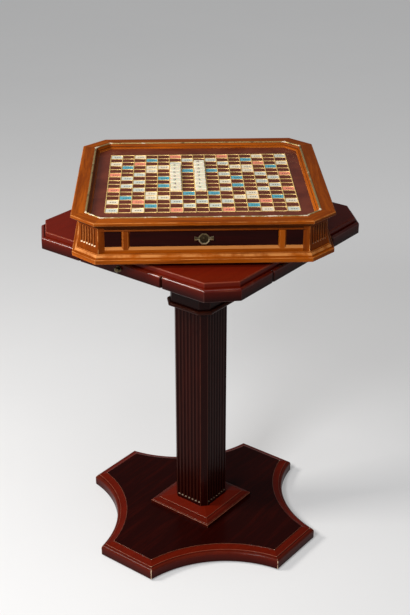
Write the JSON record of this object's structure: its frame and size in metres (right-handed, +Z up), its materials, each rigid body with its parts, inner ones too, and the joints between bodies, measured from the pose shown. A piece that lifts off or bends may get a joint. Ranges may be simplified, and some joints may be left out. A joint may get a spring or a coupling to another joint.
{
  "type": "rotating word game table",
  "caption": "Word game board in an eight-sided wooden cabinet with a drawer, turning on a fluted pedestal table with pull-out slides.",
  "frame": {"origin": "on the floor, under the middle of the column", "axes": "+Z up along the column and the turning axis, the cabinet's drawer faces -Y, +X to the right of someone who faces the drawer"},
  "size_m": [0.6066, 0.6066, 0.76],
  "materials": {
    "mahogany_gloss": "dark red mahogany stain under gloss lacquer",
    "light_wood": "orange-brown satin wood with rubbed edges",
    "burgundy_lacquer": "burgundy stained veneer, satin",
    "plain_wood": "plain hardwood, lightly sealed",
    "board_print": "printed playing field, satin",
    "gold_grid": "dull gold",
    "gold_trim": "pale gold line, rubbed",
    "ivory_tile": "cream, satin",
    "aged_brass": "aged brass",
    "steel": "zinc-plated steel",
    "black_nylon": "matte"
  },
  "bodies": {
    "pedestal": {"base_board": "mahogany_gloss", "capital_collar": "mahogany_gloss", "cleat_screws": "steel", "column_block": "mahogany_gloss", "column_board_front_left": "mahogany_gloss", "column_board_front_right": "mahogany_gloss", "column_board_rear_left": "mahogany_gloss", "column_board_rear_right": "mahogany_gloss", "foot_glides": "black_nylon", "lower_plate_screws": "steel", "neck_block": "mahogany_gloss", "slide_runners": "plain_wood", "table_bottom_board": "plain_wood", "table_cleat": "plain_wood", "table_corner_blocks": "mahogany_gloss", "table_top_panel": "mahogany_gloss", "tie_rod": "steel", "tie_rod_nuts_and_washers": "steel", "turntable_lower_plate": "steel"},
    "ball_ring": {"ball_cage": "black_nylon", "turntable_balls": "steel"},
    "cabinet": {"apron_front": "light_wood", "apron_left": "light_wood", "apron_rear": "light_wood", "apron_right": "light_wood", "board_grid": "gold_grid", "board_ledges": "plain_wood", "board_panel": "board_print", "cabinet_floor": "plain_wood", "corner_posts": "light_wood", "drawer_runners": "plain_wood", "opening_liner": "light_wood", "opening_trim": "gold_trim", "plinth_moulding": "light_wood", "top_frame": "light_wood", "turntable_upper_plate": "steel", "upper_plate_screws": "steel", "wall_panels": "burgundy_lacquer"},
    "drawer": {"drawer_front": "burgundy_lacquer", "drawer_sides": "plain_wood", "drawer_back": "plain_wood", "drawer_bottom": "plain_wood", "drawer_dividers": "plain_wood", "pull_plate": "aged_brass"},
    "drawer_bail": {"pull_bail": "aged_brass"},
    "tiles_left": {"tiles_left_word": "ivory_tile"},
    "tiles_right": {"tiles_right_word": "ivory_tile"},
    "slide_front_right": {"slide_front_front_right": "mahogany_gloss", "slide_tray_front_right": "plain_wood", "slide_knob_front_right": "aged_brass"},
    "slide_rear_right": {"slide_front_rear_right": "mahogany_gloss", "slide_tray_rear_right": "plain_wood", "slide_knob_rear_right": "aged_brass"},
    "slide_rear_left": {"slide_front_rear_left": "mahogany_gloss", "slide_tray_rear_left": "plain_wood", "slide_knob_rear_left": "aged_brass"},
    "slide_front_left": {"slide_front_front_left": "mahogany_gloss", "slide_tray_front_left": "plain_wood", "slide_knob_front_left": "aged_brass"}
  },
  "joints": [
    {"name": "cabinet_turn", "type": "hinge", "parent": "pedestal", "child": "cabinet", "pos_m": [0, 0, 0.68], "axis": [0, 0, 1], "continuous": true},
    {"name": "ball_ring_turn", "type": "hinge", "parent": "pedestal", "child": "ball_ring", "pos_m": [0, 0, 0.68], "axis": [0, 0, 1], "continuous": true},
    {"name": "drawer_slide", "type": "slide", "parent": "cabinet", "child": "drawer", "axis": [0, -1, 0], "range_m": [0, 0.2]},
    {"name": "drawer_bail_swing", "type": "hinge", "parent": "drawer", "child": "drawer_bail", "pos_m": [0, -0.21914, 0.7245], "axis": [-1, 0, 0], "range_deg": [0, 90]},
    {"name": "tiles_left_lift", "type": "slide", "parent": "cabinet", "child": "tiles_left", "axis": [0, 0, 1], "range_m": [0, 0.06]},
    {"name": "tiles_right_lift", "type": "slide", "parent": "cabinet", "child": "tiles_right", "axis": [0, 0, 1], "range_m": [0, 0.06]},
    {"name": "slide_front_right_pull", "type": "slide", "parent": "pedestal", "child": "slide_front_right", "axis": [0.7716, -0.6361, 0], "range_m": [0, 0.095]},
    {"name": "slide_rear_right_pull", "type": "slide", "parent": "pedestal", "child": "slide_rear_right", "axis": [0.6361, 0.7716, 0], "range_m": [0, 0.095]},
    {"name": "slide_rear_left_pull", "type": "slide", "parent": "pedestal", "child": "slide_rear_left", "axis": [-0.7716, 0.6361, 0], "range_m": [0, 0.095]},
    {"name": "slide_front_left_pull", "type": "slide", "parent": "pedestal", "child": "slide_front_left", "axis": [-0.6361, -0.7716, 0], "range_m": [0, 0.095]}
  ],
  "couplings": [
    {"joint": "ball_ring_turn", "follows": "cabinet_turn", "ratio": 0.5}
  ]
}
